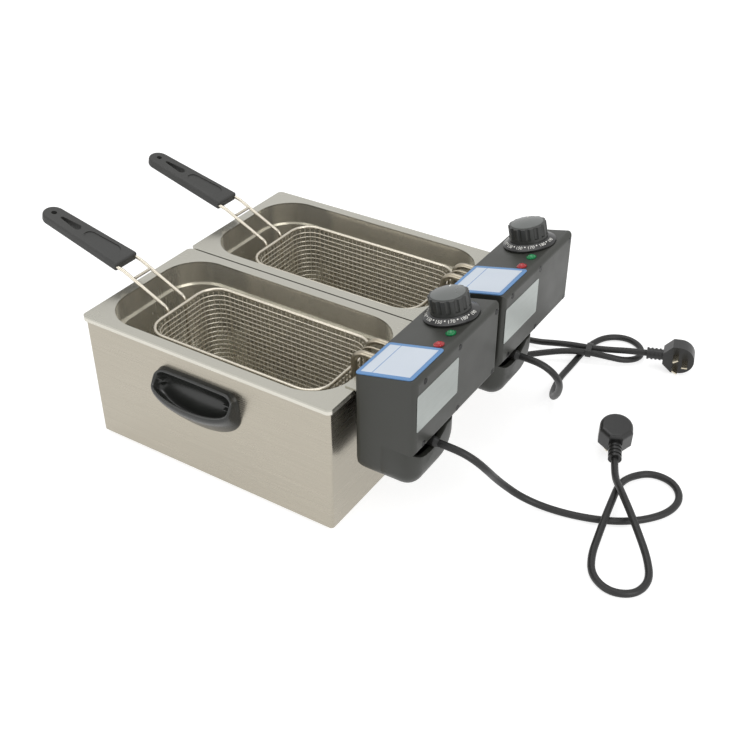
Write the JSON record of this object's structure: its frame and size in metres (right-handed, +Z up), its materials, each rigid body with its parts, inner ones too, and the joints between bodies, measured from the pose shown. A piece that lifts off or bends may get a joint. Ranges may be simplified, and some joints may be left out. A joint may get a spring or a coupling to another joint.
{
  "type": "countertop deep fryer",
  "caption": "Countertop electric deep fryer with lift-out oil pans, clip-on control heads carrying immersed heating elements, wire baskets with long grips, and mains cords.",
  "frame": {"origin": "on the standing surface below the middle of the fryer without its cords", "axes": "+Z up, -Y towards the user (basket grips), +Y towards the control heads, +X towards the right-hand pan"},
  "size_m": [0.536, 0.7641, 0.2241],
  "materials": {
    "satin_steel": "satin",
    "pan_steel": "polished",
    "element_steel": "satin",
    "chrome_wire": "bright",
    "screw_steel": "zinc plated",
    "head_black": "fine satin texture",
    "grip_black": "matte",
    "gloss_black": "gloss",
    "inner_plastic": "moulded",
    "green_lens": "clear tinted",
    "red_lens": "clear tinted",
    "black_rubber": "matte",
    "black_cord": "soft gloss",
    "pin_brass": "nickel plated"
  },
  "bodies": {
    "casing": {"outer_casing": "satin_steel", "base_plate": "satin_steel", "rubber_feet": "black_rubber", "centre_rail": "satin_steel", "right_carry_handle": "gloss_black", "left_carry_handle": "gloss_black", "carry_handle_screws": "screw_steel"},
    "right_pan": {"right_tank": "pan_steel"},
    "right_head": {"right_heating_element": "element_steel", "right_element_stays": "pan_steel", "right_thermostat_bulb": "element_steel", "right_hanger_bracket": "pan_steel", "right_head_housing": "head_black", "right_head_cover": "head_black", "right_cord_guard": "head_black", "right_cover_screws": "screw_steel", "right_thermostat": "inner_plastic", "right_thermal_cutout": "inner_plastic", "right_terminal_block": "inner_plastic", "right_microswitch": "inner_plastic", "right_green_lamp": "green_lens", "right_red_lamp": "red_lens", "right_cord_bush": "black_cord", "right_mains_cord": "black_cord", "right_mains_plug": "black_cord", "right_plug_pins": "pin_brass"},
    "right_dial": {"right_knob": "head_black", "right_dial_skirt": "head_black", "right_spindle": "screw_steel"},
    "right_basket": {"right_basket_mesh": "chrome_wire", "right_basket_frame": "chrome_wire", "right_basket_handle_wires": "chrome_wire", "right_basket_grip": "grip_black"},
    "left_pan": {"left_tank": "pan_steel"},
    "left_head": {"left_heating_element": "element_steel", "left_element_stays": "pan_steel", "left_thermostat_bulb": "element_steel", "left_hanger_bracket": "pan_steel", "left_head_housing": "head_black", "left_head_cover": "head_black", "left_cord_guard": "head_black", "left_cover_screws": "screw_steel", "left_thermostat": "inner_plastic", "left_thermal_cutout": "inner_plastic", "left_terminal_block": "inner_plastic", "left_microswitch": "inner_plastic", "left_green_lamp": "green_lens", "left_red_lamp": "red_lens", "left_cord_bush": "black_cord", "left_mains_cord": "black_cord", "left_mains_plug": "black_cord", "left_plug_pins": "pin_brass", "left_cord_tie": "black_cord"},
    "left_dial": {"left_knob": "head_black", "left_dial_skirt": "head_black", "left_spindle": "screw_steel"},
    "left_basket": {"left_basket_mesh": "chrome_wire", "left_basket_frame": "chrome_wire", "left_basket_handle_wires": "chrome_wire", "left_basket_grip": "grip_black"}
  },
  "joints": [
    {"name": "right_pan_lift", "type": "slide", "parent": "casing", "child": "right_pan", "axis": [0, 0, 1], "range_m": [0, 0.15]},
    {"name": "right_head_lift", "type": "slide", "parent": "right_pan", "child": "right_head", "axis": [0, 0, 1], "range_m": [0, 0.16]},
    {"name": "right_basket_lift", "type": "slide", "parent": "right_head", "child": "right_basket", "axis": [0, 0, 1], "range_m": [0, 0.13]},
    {"name": "right_knob_turn", "type": "hinge", "parent": "right_head", "child": "right_dial", "pos_m": [0.016, 0.23187, 0.19577], "axis": [0, 0.2228, -0.9749], "range_deg": [0, 270]},
    {"name": "left_pan_lift", "type": "slide", "parent": "casing", "child": "left_pan", "axis": [0, 0, 1], "range_m": [0, 0.15]},
    {"name": "left_head_lift", "type": "slide", "parent": "left_pan", "child": "left_head", "axis": [0, 0, 1], "range_m": [0, 0.16]},
    {"name": "left_basket_lift", "type": "slide", "parent": "left_head", "child": "left_basket", "axis": [0, 0, 1], "range_m": [0, 0.13]},
    {"name": "left_knob_turn", "type": "hinge", "parent": "left_head", "child": "left_dial", "pos_m": [-0.166, 0.23187, 0.19577], "axis": [0, 0.2228, -0.9749], "range_deg": [0, 270]}
  ]
}
